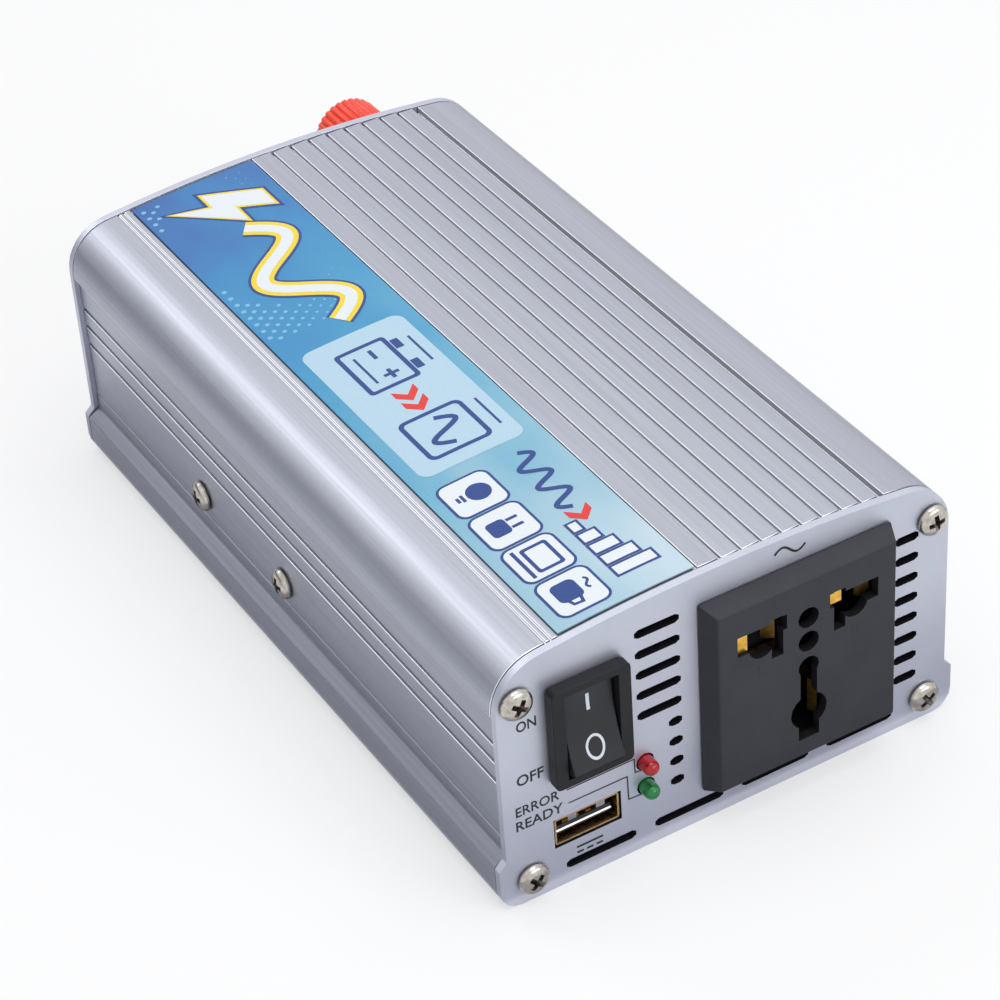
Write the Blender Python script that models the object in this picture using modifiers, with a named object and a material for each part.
"""A 12 volt power inverter in an extruded aluminium case, as separate pieces at real size.

World axes: the origin is on the underside of the case, at its centre. +Z is up, the socket
panel faces -Y and the battery posts stand out of the rear panel, towards +Y.
"""
import math

import bmesh
import bpy
from mathutils import Matrix, Vector

MM = 0.001
GAP = 0.3 * MM                   # left between pieces that touch

# Case: an upper shell and a lower tray, both extruded, between two flat end panels
CASE_LENGTH = 160.0 * MM         # over both end panels
PANEL_THICKNESS = 1.5 * MM
FLANGE_STEP = 1.5 * MM           # how far the tray's foot stands out past the panels
WALL_STEP = 1.0 * MM             # how far the side walls stand in from the panels' edges
CROWN_RADIUS = 315.0 * MM
CROWN_STEP = 6.0 * MM            # length of one facet of the crown
CORNER_RADIUS = 9.5 * MM
CORNER_FACETS = 8
SHOULDER = 0.7 * MM              # straight length under each top corner
SIDE_WALL = 1.8 * MM
TOP_WALL = 2.6 * MM
FLOOR = 2.0 * MM
SEAM_HEIGHT = 14.0 * MM
LIP_HEIGHT = 1.2 * MM            # the tray's lip inside the shell
LIP_THICKNESS = 1.2 * MM
LEDGE_HEIGHT = 10.6 * MM
FOOT_RADIUS = 4.0 * MM
FOOT_FACETS = 4

# Lengthwise grooves
SIDE_GROOVE_HEIGHTS = (26.0 * MM, 30.3 * MM, 34.3 * MM)
SIDE_GROOVE_WIDTH = 1.0 * MM
SIDE_GROOVE_DEPTH = 0.7 * MM
RIB_PITCH = 4.05 * MM
RIB_GROOVE_WIDTH = 0.7 * MM
RIB_GROOVE_DEPTH = 1.0 * MM
RIB_SLOPE = 0.25 * MM            # how far each rib's top falls to one side
EDGE_GROOVE_INSET = 13.2 * MM    # the widest groove, beside the plain edge
EDGE_GROOVE_WIDTH = 1.3 * MM
EDGE_GROOVE_DEPTH = 1.4 * MM
FINE_GROOVE_OFFSETS = (1.3 * MM, 2.4 * MM)                   # from the label's left edge
FINE_GROOVE_WIDTH = 0.4 * MM
FINE_GROOVE_DEPTH = 0.3 * MM

# Label, let into the crown
LABEL_INSET = 13.4 * MM          # from the left edge of the panels
LABEL_WIDTH = 27.0 * MM
LABEL_THICKNESS = 0.25 * MM
LABEL_MARGIN = 0.5 * MM          # from the label's ends to the ends of the shell

# Screws
SCREW_HEAD_RADIUS = 3.0 * MM
SCREW_HEAD_HEIGHT = 1.6 * MM
SCREW_SHANK_RADIUS = 1.4 * MM
SCREW_LENGTH = 9.0 * MM
SCREW_SEGMENTS = 12
PORT_WALL = 1.6 * MM             # metal round a screw's hole in an extrusion
TOP_SCREW_INSET = 3.7 * MM       # from the panel's side edge
TOP_SCREW_DROP = 9.8 * MM        # from the top of the crown
BOTTOM_SCREW_INSET = 6.2 * MM    # from the edge of the foot
BOTTOM_SCREW_Z = 5.0 * MM
SIDE_SCREW_Z = 18.3 * MM
SIDE_SCREW_SPACING = 32.0 * MM
LEFT_CLAMP_SETBACK = 65.6 * MM   # from the rear end of the case
RIGHT_CLAMP_SETBACK = 41.1 * MM  # from the front end of the case

# Across the front panel, from its left edge: switch, left slots, socket, right slots
LEFT_MARGIN = 9.1 * MM
SWITCH_TO_SLOTS = 2.2 * MM
SLOTS_TO_SOCKET = 3.4 * MM
SOCKET_TO_SLOTS = 1.0 * MM
RIGHT_MARGIN = 6.2 * MM
SOCKET_BASE_Z = 6.7 * MM         # underside of the case to the foot of the socket's plate
CROWN_MARGIN = 6.1 * MM          # from the top of the plate to the top of the crown

# Cooling slots in the front panel
SLOT_WIDTH = 1.8 * MM
SLOT_PITCH = 4.4 * MM
LEFT_SLOTS_DROP = 6.9 * MM       # from the top of the crown to the first slot
LONG_SLOTS = 5
LONG_SLOT = 9.0 * MM
SHORT_SLOTS = 4
SHORT_SLOT = 2.9 * MM
RIGHT_SLOTS = 8
RIGHT_SLOTS_DROP = 11.9 * MM
RIGHT_SLOT = 5.2 * MM
FLOOR_SLOTS = 4
FLOOR_SLOT = 14.2 * MM
FLOOR_SLOT_PITCH = 17.85 * MM
FLOOR_SLOT_Z = 4.1 * MM

# Rocker switch
SWITCH_DROP = 19.9 * MM          # from the top of the crown to the pivot
BEZEL_WIDTH = 15.2 * MM
BEZEL_HEIGHT = 21.0 * MM
BEZEL_THICKNESS = 2.2 * MM
BEZEL_EDGE = 0.8 * MM
SWITCH_BODY_WIDTH = 13.0 * MM
SWITCH_BODY_HEIGHT = 19.2 * MM
SWITCH_BODY_DEPTH = 13.0 * MM    # behind the panel's outer face
SWITCH_BACK = 2.5 * MM
ROCKER_WIDTH = 9.8 * MM
ROCKER_RADIUS = 8.6 * MM         # its ends are arcs about the pivot
ROCKER_CENTRE = 2.1 * MM         # face to pivot at the middle
ROCKER_BACK = 2.0 * MM
ROCKER_V = math.radians(7)       # each half of the face leans in by this
ROCKER_HOLLOW = 0.35 * MM        # how far each half is hollowed between its ends
ROCKER_TILT = math.radians(12)   # to each side of level
PIVOT_DEPTH = 0.5 * MM           # behind the panel's outer face
PIVOT_RADIUS = 1.0 * MM
PIVOT_LENGTH = 0.9 * MM
BLADE_WIDTH = 4.8 * MM
BLADE_THICKNESS = 0.8 * MM
BLADE_LENGTH = 8.0 * MM
BLADE_SPACING = 10.0 * MM

# Mains socket
PLATE_WIDTH = 39.1 * MM
PLATE_HEIGHT = 41.1 * MM
PLATE_PROUD = 4.0 * MM
PLATE_SLOPE = 1.5 * MM           # how far each side leans in
PLATE_FACE = 1.8 * MM            # thickness of the face
PLATE_EDGE = 0.5 * MM
SOCKET_BODY_WIDTH = 34.0 * MM
SOCKET_BODY_HEIGHT = 36.0 * MM
SOCKET_BODY_DEPTH = 12.0 * MM    # behind the panel's outer face
SOCKET_WALL = 1.5 * MM
SOCKET_BACK = 2.0 * MM
BROAD_PIN = (10.95 * MM, 11.35 * MM, 6.7 * MM, 4.1 * MM)     # x, z, width, height
ROUND_PIN = (9.5 * MM, 9.7 * MM, 2.6 * MM)                   # x, z, radius
FLAT_PIN = (6.35 * MM, 10.0 * MM, 2.3 * MM, 8.3 * MM)
SLANTED_PIN = (6.0 * MM, 12.5 * MM, 3.2 * MM, 3.0 * MM)
MIDDLE_HOLES = (11.2 * MM, 6.1 * MM)
MIDDLE_HOLE_RADIUS = 2.1 * MM
EARTH_SLOT = (-3.2 * MM, 3.4 * MM, 7.6 * MM)                 # z, width, height
EARTH_ROUND = (-9.3 * MM, 3.7 * MM)                          # z, radius
EARTH_PIN = (-11.3 * MM, 4.2 * MM, 8.0 * MM)
CONTACT_STRIP = 0.6 * MM
CONTACT_HEIGHT = 7.0 * MM
CONTACT_BEND = 0.8 * MM
CONTACT_LIP_FALL = 1.2 * MM
PIN_LIP = 2.6 * MM               # how far the sprung lips of a clip turn in
EARTH_LIP = 1.5 * MM

# USB socket
USB_OFFSET = 0.65 * MM           # how far its middle lies left of the switch's
USB_Z = 12.05 * MM
USB_CUT_WIDTH = 13.3 * MM
USB_CUT_HEIGHT = 6.3 * MM
USB_DEPTH = 14.0 * MM
USB_SHEET = 0.35 * MM
USB_TONGUE = (10.8 * MM, 1.7 * MM, 9.0 * MM)                 # width, thickness, length
USB_TONGUE_RISE = 0.9 * MM       # clear height under the tongue
USB_SPRING = (1.6 * MM, 0.5 * MM, 0.6 * MM)                  # width, height, depth of a dimple
USB_SPRING_SPACING = 5.6 * MM
USB_PINS = 4
USB_PIN_PITCH = 2.3 * MM
USB_PIN_WIDTH = 1.0 * MM
USB_PIN_THICKNESS = 0.3 * MM

# Lamps
LAMP_TO_SWITCH = 3.45 * MM       # from the bezel's right edge to the lamps' axis
FAULT_LAMP_Z = 19.1 * MM
POWER_LAMP_Z = 13.7 * MM
LAMP_RADIUS = 1.5 * MM
LAMP_PROUD = 3.2 * MM
LAMP_LENGTH = 7.0 * MM
LAMP_LEG = 0.5 * MM
LAMP_LEG_SPACING = 1.4 * MM
LAMP_LEG_REACH = 2.5 * MM

# Circuit board and what stands on it
BOARD_THICKNESS = 1.6 * MM
BOARD_GRIP = 1.0 * MM            # how far its edges reach into the tray's grooves
BOARD_TO_FAN = 2.2 * MM          # from the board's rear edge to the fan
TRANSFORMER = (0.0 * MM, 56.0 * MM)                          # x, forward of the board's rear edge
CORE_LENGTH = 38.0 * MM
CORE_THICKNESS = 15.0 * MM
CORE_YOKE = 6.0 * MM
CORE_SIDE_LEG = 6.0 * MM
CORE_MIDDLE_LEG = 12.0 * MM
CORE_WINDOW = 8.5 * MM
WINDING_WALL = 5.0 * MM          # copper above and below the core
WINDING_CORNER = 3.0 * MM
INPUT_CAPACITOR = (-25.0 * MM, 18.0 * MM)
INPUT_CAPACITOR_SIZE = (8.0 * MM, 28.0 * MM)                 # radius, height
OUTPUT_CAPACITOR = (-8.0 * MM, 42.2 * MM)                    # x, behind the board's front edge
OUTPUT_CAPACITOR_SIZE = (9.0 * MM, 31.0 * MM)
FUSE = (24.0 * MM, 26.0 * MM)
FUSE_SIZE = (19.0 * MM, 5.0 * MM, 12.0 * MM)
TRANSISTORS = 2                  # on each side, between the screws
TRANSISTOR_PITCH = 14.0 * MM
TRANSISTOR_SIZE = (4.5 * MM, 10.0 * MM, 15.5 * MM)
TRANSISTOR_BASE_Z = 16.0 * MM
TRANSISTOR_LEG = (0.5 * MM, 0.9 * MM)                        # thickness, width
TRANSISTOR_LEG_PITCH = 2.54 * MM
INSULATOR_THICKNESS = 0.5 * MM
CLAMP_THICKNESS = 3.0 * MM
CLAMP_HEIGHT = 8.0 * MM
CLAMP_LENGTH = 42.0 * MM

# Fan behind the rear panel
FAN_INSET = 34.4 * MM            # from the panel's left edge to the fan's axis
FAN_SIZE = 40.0 * MM
FAN_THICKNESS = 10.0 * MM
FAN_CORNER = 3.0 * MM
FAN_HOLES = 32.0 * MM            # spacing of its corner holes
FAN_DUCT_RADIUS = 19.0 * MM
FAN_STRUTS = 4
FAN_STRUT_WIDTH = 3.0 * MM
FAN_STRUT_THICKNESS = 1.6 * MM
MOTOR_PLATE_RADIUS = 10.0 * MM
BEARING_RADIUS = 2.4 * MM
ROTOR_HUB_RADIUS = 9.5 * MM
ROTOR_TIP_GAP = 0.8 * MM
ROTOR_WALL = 1.0 * MM
ROTOR_SHAFT_RADIUS = 1.0 * MM
ROTOR_CLEARANCE = 0.6 * MM       # in front of and behind the rotor
FAN_BLADES = 7
FAN_BLADE_THICKNESS = 0.9 * MM
FAN_BLADE_SWEEP = math.radians(34)
FAN_BLADE_STEPS = 3
FAN_SCREW_SHORT = 1.0 * MM        # the fan's screws stop this far inside its frame

# Grille in the rear panel
GRILLE_OUTER_RADIUS = 18.4 * MM
GRILLE_HUB_RADIUS = 11.0 * MM
GRILLE_SPOKE_WIDTH = 3.9 * MM
GRILLE_SPOKES = 3
GRILLE_FACETS = 9

# Battery posts
POST_INSET = 18.85 * MM          # from the panel's right edge
RED_POST_DROP = 14.7 * MM        # from the top of the crown
POST_SPACING = 20.1 * MM
STUD_RADIUS = 3.1 * MM
STUD_INSIDE = 9.5 * MM           # length behind the rear panel
STUD_OUTSIDE = 12.0 * MM
POST_BASE_RADIUS = 7.8 * MM
POST_BASE_THICKNESS = 4.0 * MM
POST_SPIGOT_WALL = 1.0 * MM
RING_RADIUS = 7.2 * MM
RING_THICKNESS = 0.8 * MM
KNOB_RADIUS = 7.4 * MM
KNOB_LENGTH = 13.5 * MM
KNOB_COLLAR = 2.6 * MM
KNOB_CHAMFER = 0.9 * MM
KNURLS = 30
KNURL_DEPTH = 0.5 * MM
WASHER_RADIUS = 6.5 * MM
WASHER_THICKNESS = 1.5 * MM
LUG_RADIUS = 5.6 * MM
LUG_THICKNESS = 1.0 * MM
LUG_NECK = 10.0 * MM             # from the stud's axis to the end of the lug
LUG_NECK_WIDTH = 4.4 * MM
POST_NUT_RADIUS = 5.6 * MM
POST_NUT_THICKNESS = 3.6 * MM
LEAD_RADIUS = 1.8 * MM
LEAD_CLEARANCE = 0.8 * MM        # from the washer's edge to the start of the wire
LEAD_FOOT = 2.0 * MM             # straight length above the board
LEAD_ROUTES = {                  # across from the stud, forward of the lug, down from the stud
    "red": [(10.7 * MM, 1.1 * MM, 0.2 * MM), (12.1 * MM, 6.4 * MM, 1.2 * MM),
            (8.9 * MM, 14.9 * MM, 4.2 * MM), (3.4 * MM, 20.9 * MM, 10.2 * MM),
            (0.4 * MM, 24.4 * MM, 18.2 * MM)],
    "black": [(10.7 * MM, 1.1 * MM, 0.1 * MM), (12.3 * MM, 6.4 * MM, 0.9 * MM),
              (9.9 * MM, 14.9 * MM, 4.1 * MM)]}

# Worked out from the sizes above
PANEL_WIDTH = (LEFT_MARGIN + BEZEL_WIDTH + SWITCH_TO_SLOTS + LONG_SLOT + SLOTS_TO_SOCKET
               + PLATE_WIDTH + SOCKET_TO_SLOTS + RIGHT_SLOT + RIGHT_MARGIN)
PANEL_HALF_WIDTH = PANEL_WIDTH / 2
FLANGE_HALF_WIDTH = PANEL_HALF_WIDTH + FLANGE_STEP
WALL_HALF_WIDTH = PANEL_HALF_WIDTH - WALL_STEP
CASE_HEIGHT = SOCKET_BASE_Z + PLATE_HEIGHT + CROWN_MARGIN
BEZEL_RIGHT = -PANEL_HALF_WIDTH + LEFT_MARGIN + BEZEL_WIDTH
SWITCH_X = BEZEL_RIGHT - BEZEL_WIDTH / 2
SWITCH_Z = CASE_HEIGHT - SWITCH_DROP
LAMP_X = BEZEL_RIGHT + LAMP_TO_SWITCH
USB_X = SWITCH_X - USB_OFFSET
LEFT_SLOTS_END = BEZEL_RIGHT + SWITCH_TO_SLOTS + LONG_SLOT   # the end that they all share
LEFT_SLOTS_TOP = CASE_HEIGHT - LEFT_SLOTS_DROP
RIGHT_SLOTS_END = PANEL_HALF_WIDTH - RIGHT_MARGIN
RIGHT_SLOTS_TOP = CASE_HEIGHT - RIGHT_SLOTS_DROP
SOCKET_X = RIGHT_SLOTS_END - RIGHT_SLOT - SOCKET_TO_SLOTS - PLATE_WIDTH / 2
SOCKET_Z = SOCKET_BASE_Z + PLATE_HEIGHT / 2
TOP_SCREW_X = PANEL_HALF_WIDTH - TOP_SCREW_INSET
TOP_SCREW_Z = CASE_HEIGHT - TOP_SCREW_DROP
BOTTOM_SCREW_X = FLANGE_HALF_WIDTH - BOTTOM_SCREW_INSET
EDGE_GROOVE_X = PANEL_HALF_WIDTH - EDGE_GROOVE_INSET
LABEL_LEFT = -PANEL_HALF_WIDTH + LABEL_INSET
LABEL_RIGHT = LABEL_LEFT + LABEL_WIDTH
RIB_GROOVES = int((EDGE_GROOVE_X - LABEL_RIGHT) / RIB_PITCH)
POST_X = PANEL_HALF_WIDTH - POST_INSET
RED_POST_Z = CASE_HEIGHT - RED_POST_DROP
BLACK_POST_Z = RED_POST_Z - POST_SPACING
HALF_LENGTH = CASE_LENGTH / 2
LEFT_CLAMP_Y = HALF_LENGTH - LEFT_CLAMP_SETBACK
RIGHT_CLAMP_Y = -HALF_LENGTH + RIGHT_CLAMP_SETBACK
PANEL_INNER_Y = HALF_LENGTH - PANEL_THICKNESS
SHELL_HALF_LENGTH = PANEL_INNER_Y - GAP
SCREW_HOLE_RADIUS = SCREW_SHANK_RADIUS + GAP
CORNER_X = PANEL_HALF_WIDTH - CORNER_RADIUS
CROWN_CENTRE_Z = CASE_HEIGHT - CROWN_RADIUS
CORNER_Z = CROWN_CENTRE_Z + math.sqrt((CROWN_RADIUS - CORNER_RADIUS) ** 2 - CORNER_X ** 2)
CORNER_MEETS_CROWN = math.atan2(CORNER_Z - CROWN_CENTRE_Z, CORNER_X)
FAN_X = -PANEL_HALF_WIDTH + FAN_INSET
FAN_CEILING_X = FAN_X - FAN_SIZE / 2
FAN_CEILING = CROWN_CENTRE_Z + math.sqrt(CROWN_RADIUS ** 2 - FAN_CEILING_X ** 2) - TOP_WALL
FAN_Z = (FLOOR + FAN_CEILING) / 2
INNER_HALF_WIDTH = WALL_HALF_WIDTH - SIDE_WALL
PORT_RADIUS = SCREW_HOLE_RADIUS + PORT_WALL
USB_SHELL_WIDTH = USB_CUT_WIDTH - 2 * GAP
USB_SHELL_HEIGHT = USB_CUT_HEIGHT - 2 * GAP
BOARD_TOP = USB_Z - USB_SHELL_HEIGHT / 2 - GAP
BOARD_BOTTOM = BOARD_TOP - BOARD_THICKNESS
PORT_INNER_X = BOTTOM_SCREW_X - PORT_RADIUS
BOARD_HALF_WIDTH = PORT_INNER_X + BOARD_GRIP - GAP
PORT_TOP = BOARD_TOP + GAP + 1.2 * MM
STAND_Z = BOARD_TOP + GAP        # where parts on the board start
TRANSISTOR_X = INNER_HALF_WIDTH - 2 * GAP - INSULATOR_THICKNESS - TRANSISTOR_SIZE[0]
CLAMP_X = TRANSISTOR_X - GAP - CLAMP_THICKNESS
PIVOT_Y = -HALF_LENGTH + PIVOT_DEPTH
PLATE_Y = -HALF_LENGTH - GAP     # the back of the socket's plate
SOCKET_BODY_REAR = -HALF_LENGTH + SOCKET_BODY_DEPTH
FAN_FRONT_Y = PANEL_INNER_Y - GAP
FAN_REAR_Y = FAN_FRONT_Y - FAN_THICKNESS
BOARD_REAR_Y = FAN_REAR_Y - BOARD_TO_FAN
BOARD_FRONT_Y = -PANEL_INNER_Y + GAP
STUD_HOLE_RADIUS = STUD_RADIUS + GAP
POST_BASE_Y = HALF_LENGTH + GAP
RING_Y = POST_BASE_Y + POST_BASE_THICKNESS + GAP
KNOB_Y = RING_Y + RING_THICKNESS + GAP
WASHER_Y = PANEL_INNER_Y - GAP
LUG_Y = WASHER_Y - WASHER_THICKNESS - GAP
POST_NUT_Y = LUG_Y - LUG_THICKNESS - GAP
SPIGOT_RADIUS = STUD_HOLE_RADIUS + POST_SPIGOT_WALL

# Local +Z turned to face each side of the case
FRONT = Matrix.Rotation(math.radians(90), 4, "X")
REAR = Matrix.Rotation(math.radians(-90), 4, "X")
LEFT = Matrix.Rotation(math.radians(-90), 4, "Y")
RIGHT = Matrix.Rotation(math.radians(90), 4, "Y")
UP = Matrix.Identity(4)
ACROSS = Matrix(((0, 0, 1, 0), (1, 0, 0, 0), (0, 1, 0, 0), (0, 0, 0, 1)))   # outline in YZ
UP_AND_FORWARD = Matrix(((0, 0, 1, 0), (0, -1, 0, 0), (1, 0, 0, 0), (0, 0, 0, 1)))


# ---------------------------------------------------------------- scene and materials

def empty_scene():
    for thing in list(bpy.data.objects):
        bpy.data.objects.remove(thing, do_unlink=True)


def new_collection(name):
    collection = bpy.data.collections.new(name)
    bpy.context.scene.collection.children.link(collection)
    return collection


def linear(channel):
    return channel / 12.92 if channel <= 0.04045 else ((channel + 0.055) / 1.055) ** 2.4


def make_material(name, colour, roughness, metallic=0.0):
    material = bpy.data.materials.new(name)
    material.use_nodes = True
    shader = material.node_tree.nodes["Principled BSDF"]
    parts = [int(colour[i:i + 2], 16) / 255 for i in (1, 3, 5)]
    shader.inputs["Base Color"].default_value = [linear(part) for part in parts] + [1.0]
    shader.inputs["Roughness"].default_value = roughness
    shader.inputs["Metallic"].default_value = metallic
    return material


empty_scene()
PARTS = new_collection("power_inverter")
CUTTERS = new_collection("cutters")
ANODISED = make_material("anodised_aluminium", "#B4B7C4", 0.42, 0.9)
PANEL_SHEET = make_material("panel_aluminium", "#C3C6D3", 0.4, 0.85)
NICKEL = make_material("nickel_plate", "#C9C4BC", 0.22, 1.0)
BRASS = make_material("brass", "#C79A4B", 0.28, 1.0)
BLACK_PLASTIC = make_material("black_plastic", "#2E2F33", 0.45)
RED_PLASTIC = make_material("red_plastic", "#F4523A", 0.35)
LABEL_FILM = make_material("printed_film", "#4FB4DC", 0.35)
RED_LENS = make_material("red_lens", "#B0202A", 0.15)
GREEN_LENS = make_material("green_lens", "#1F8A4A", 0.15)
BOARD_RESIN = make_material("circuit_board", "#2E6B3A", 0.5)
FERRITE = make_material("ferrite", "#3A3B3E", 0.6)
WINDING_TAPE = make_material("winding_tape", "#D9B83A", 0.5)
SLEEVE = make_material("capacitor_sleeve", "#1D2A44", 0.35)
SILICONE = make_material("silicone_pad", "#9AA0A6", 0.7)
FUSE_PLASTIC = make_material("fuse_plastic", "#3F9B55", 0.3)
RED_INSULATION = make_material("red_insulation", "#B3242B", 0.45)
BLACK_INSULATION = make_material("black_insulation", "#1C1C1F", 0.45)


# ---------------------------------------------------------------- shapes

def add_object(name, mesh, material, matrix=UP, collection=None):
    thing = bpy.data.objects.new(name, mesh)
    thing.matrix_world = matrix
    (collection or PARTS).objects.link(thing)
    if material is not None:
        mesh.materials.clear()
        mesh.materials.append(material)
    return thing


def add_tool(name, mesh, matrix=UP):
    """A shape that only cuts another or is joined to it."""
    tool = add_object(name, mesh, None, matrix, CUTTERS)
    tool.hide_render = True
    tool.display_type = "WIRE"
    return tool


def baked_mesh(thing):
    """The evaluated mesh of a scratch object, welded, with its faces pointing out."""
    bpy.context.view_layer.update()
    graph = bpy.context.evaluated_depsgraph_get()
    mesh = bpy.data.meshes.new_from_object(thing.evaluated_get(graph))
    mesh.transform(thing.matrix_world)
    bpy.data.objects.remove(thing, do_unlink=True)
    shape = bmesh.new()
    shape.from_mesh(mesh)
    bmesh.ops.remove_doubles(shape, verts=shape.verts, dist=0.000002)
    bmesh.ops.recalc_face_normals(shape, faces=shape.faces)
    shape.to_mesh(mesh)
    shape.free()
    return mesh


def smooth(mesh, angle=40):
    mesh.shade_smooth()
    mesh.set_sharp_from_angle(angle=math.radians(angle))
    return mesh


def box_mesh(low, high):
    shape = bmesh.new()
    bmesh.ops.create_cube(shape, size=1.0)
    for vertex in shape.verts:
        for axis in range(3):
            share = vertex.co[axis] + 0.5
            vertex.co[axis] = low[axis] + share * (high[axis] - low[axis])
    mesh = bpy.data.meshes.new("box")
    shape.to_mesh(mesh)
    shape.free()
    return mesh


def box_at(centre_x, centre_y, base_z, size):
    half_x = size[0] / 2
    half_y = size[1] / 2
    low = (centre_x - half_x, centre_y - half_y, base_z)
    high = (centre_x + half_x, centre_y + half_y, base_z + size[2])
    return box_mesh(low, high)


def drum_mesh(radius, low, high, segments=24):
    """A plain cylinder along local Z."""
    shape = bmesh.new()
    middle = Matrix.Translation((0, 0, (low + high) / 2))
    bmesh.ops.create_cone(shape, cap_ends=True, segments=segments, radius1=radius,
                          radius2=radius, depth=high - low, matrix=middle)
    mesh = bpy.data.meshes.new("drum")
    shape.to_mesh(mesh)
    shape.free()
    return smooth(mesh)


def turned_mesh(profile, segments=24):
    """A profile of (radius, height) points turned about local Z, its outer side downwards."""
    mesh = bpy.data.meshes.new("turned")
    edges = [(i, i + 1) for i in range(len(profile) - 1)]
    mesh.from_pydata([(radius, 0.0, height) for radius, height in profile], edges, [])
    thing = bpy.data.objects.new("turned", mesh)
    CUTTERS.objects.link(thing)
    screw = thing.modifiers.new("turn", "SCREW")
    screw.steps = segments
    screw.render_steps = segments
    screw.use_merge_vertices = True
    screw.merge_threshold = 0.000002
    return smooth(baked_mesh(thing))


def extruded_mesh(outlines, thickness, turn=FRONT, bend=None):
    """Closed outlines filled and given a thickness. The first is the edge, the rest are holes."""
    curve = bpy.data.curves.new("outline", "CURVE")
    curve.dimensions = "2D"
    curve.fill_mode = "BOTH"
    curve.extrude = thickness / 2
    for outline in outlines:
        spline = curve.splines.new("POLY")
        spline.points.add(len(outline) - 1)
        for point, (across, along) in zip(spline.points, outline):
            point.co = (across, along, 0.0, 1.0)
        spline.use_cyclic_u = True
    thing = bpy.data.objects.new("outline", curve)
    thing.matrix_world = turn
    CUTTERS.objects.link(thing)
    return baked_mesh(thing)


def tube_mesh(route, radius):
    """A wire along a route of points."""
    curve = bpy.data.curves.new("wire", "CURVE")
    curve.dimensions = "3D"
    curve.bevel_depth = radius
    curve.bevel_resolution = 2
    curve.use_fill_caps = True
    spline = curve.splines.new("POLY")
    spline.points.add(len(route) - 1)
    for point, place in zip(spline.points, route):
        point.co = (*place, 1.0)
    thing = bpy.data.objects.new("wire", curve)
    CUTTERS.objects.link(thing)
    return smooth(baked_mesh(thing))


def smooth_route(places, steps=2):
    """Points on a Catmull-Rom curve through a route's own points."""
    points = [Vector(place) for place in places]
    before_start = 2 * points[0] - points[1]
    after_end = 2 * points[-1] - points[-2]
    points = [before_start] + points + [after_end]
    route = []
    for a, b, c, d in zip(points, points[1:], points[2:], points[3:]):
        for step in range(steps):
            t = step / steps
            bend = (2 * a - 5 * b + 4 * c - d) * t ** 2 + (3 * b - a - 3 * c + d) * t ** 3
            route.append(b + ((c - a) * t + bend) / 2)
    route.append(points[-2])
    return route


def boolean(thing, tool, operation):
    step = thing.modifiers.new(operation.lower(), "BOOLEAN")
    step.operation = operation
    step.object = tool
    step.solver = "EXACT"


def cut(thing, mesh, matrix=UP):
    boolean(thing, add_tool(thing.name + "_cut", mesh, matrix), "DIFFERENCE")


def join(thing, mesh, matrix=UP):
    boolean(thing, add_tool(thing.name + "_join", mesh, matrix), "UNION")


def soften(thing, width, segments=1):
    bevel = thing.modifiers.new("edges", "BEVEL")
    bevel.width = width
    bevel.segments = segments
    bevel.limit_method = "ANGLE"
    bevel.angle_limit = math.radians(50)
    return thing


def at(x, y, z, turn=UP):
    return Matrix.Translation((x, y, z)) @ turn


# ---------------------------------------------------------------- outlines

def arc(centre, radius, start, end, facets):
    points = []
    for step in range(facets + 1):
        angle = start + (end - start) * step / facets
        points.append((centre[0] + radius * math.cos(angle), centre[1] + radius * math.sin(angle)))
    return points


def circle(centre, radius, facets=16):
    return arc(centre, radius, 0.0, 2 * math.pi, facets)[:-1]


def rectangle(centre, width, height):
    x, z = centre
    return [(x - width / 2, z - height / 2), (x + width / 2, z - height / 2),
            (x + width / 2, z + height / 2), (x - width / 2, z + height / 2)]


def rounded_rectangle(centre, width, height, radius, facets=3):
    x = width / 2 - radius
    z = height / 2 - radius
    points = []
    for turn, (side_x, side_z) in enumerate(((1, 1), (-1, 1), (-1, -1), (1, -1))):
        corner = (centre[0] + side_x * x, centre[1] + side_z * z)
        start = turn * math.pi / 2
        points += arc(corner, radius, start, start + math.pi / 2, facets)
    return points


def slot(left, right, z):
    """A cooling slot with round ends."""
    radius = SLOT_WIDTH / 2
    half_turn = math.pi / 2
    points = arc((right - radius, z), radius, -half_turn, half_turn, 3)
    return points + arc((left + radius, z), radius, half_turn, 3 * half_turn, 3)


def strip(route, thickness):
    """The outline of a bent sheet whose middle line is a route of points."""
    sides = ([], [])
    points = [Vector(point) for point in route]
    for index, point in enumerate(points):
        before = points[max(index - 1, 0)]
        after = points[min(index + 1, len(points) - 1)]
        into = (point - before).normalized() if index else (after - point).normalized()
        out = (after - point).normalized() if index < len(points) - 1 else into
        normal = Vector((-into.y - out.y, into.x + out.x)).normalized()
        reach = thickness / 2 / max(normal.dot(Vector((-into.y, into.x))), 0.3)
        sides[0].append(tuple(point + normal * reach))
        sides[1].append(tuple(point - normal * reach))
    return sides[0] + sides[1][::-1]


def mirrored(points):
    return [(-x, z) for x, z in reversed(points)]


# ---------------------------------------------------------------- case

def crown(x):
    return CROWN_CENTRE_Z + math.sqrt(CROWN_RADIUS ** 2 - x ** 2)


def crown_run(start, end, drop=0.0):
    steps = max(1, round(abs(end - start) / CROWN_STEP))
    places = [start + (end - start) * step / steps for step in range(steps + 1)]
    return [(x, crown(x) - drop) for x in places]


def top_corner():
    """The right top corner, from the side up to the crown."""
    return arc((CORNER_X, CORNER_Z), CORNER_RADIUS, 0.0, CORNER_MEETS_CROWN, CORNER_FACETS)


def groove(centre, width, depth):
    """A groove across the crown, met from the right."""
    right = centre + width / 2
    left = centre - width / 2
    floor = crown(centre) - depth
    return [(right, crown(right)), (right, floor), (left, floor), (left, crown(left))]


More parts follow.
